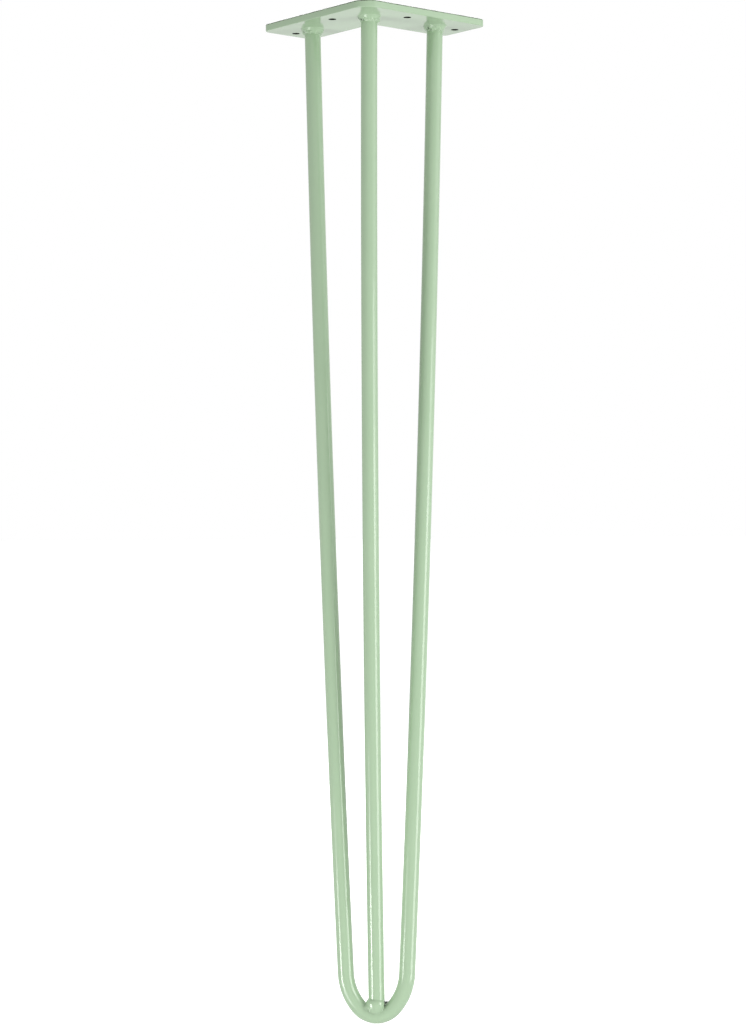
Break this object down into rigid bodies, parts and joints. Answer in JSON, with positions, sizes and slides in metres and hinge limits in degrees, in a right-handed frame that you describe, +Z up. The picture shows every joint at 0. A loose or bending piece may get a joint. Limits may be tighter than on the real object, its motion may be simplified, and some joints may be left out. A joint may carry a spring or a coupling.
{
  "type": "hairpin table leg",
  "caption": "Hairpin table leg: a U-bent round rod and a centre rod welded under an L-shaped screw plate, in pale green gloss powder coat, for fixing under a table or desk top.",
  "frame": {"origin": "on the mounting face, where the middle lines of the plate's two arms cross", "axes": "+Z up out of the mounting face into the table top, +Y from the plate's corner towards the open side of its L, +X across the leg"},
  "size_m": [0.157, 0.1058, 0.711],
  "materials": {
    "powder_coat": "gloss"
  },
  "bodies": {
    "root": {"mounting_plate": "powder_coat", "hairpin_rod": "powder_coat", "centre_rod": "powder_coat", "left_rod_weld": "powder_coat", "right_rod_weld": "powder_coat", "centre_rod_weld": "powder_coat", "foot_weld": "powder_coat"}
  },
  "joints": []
}
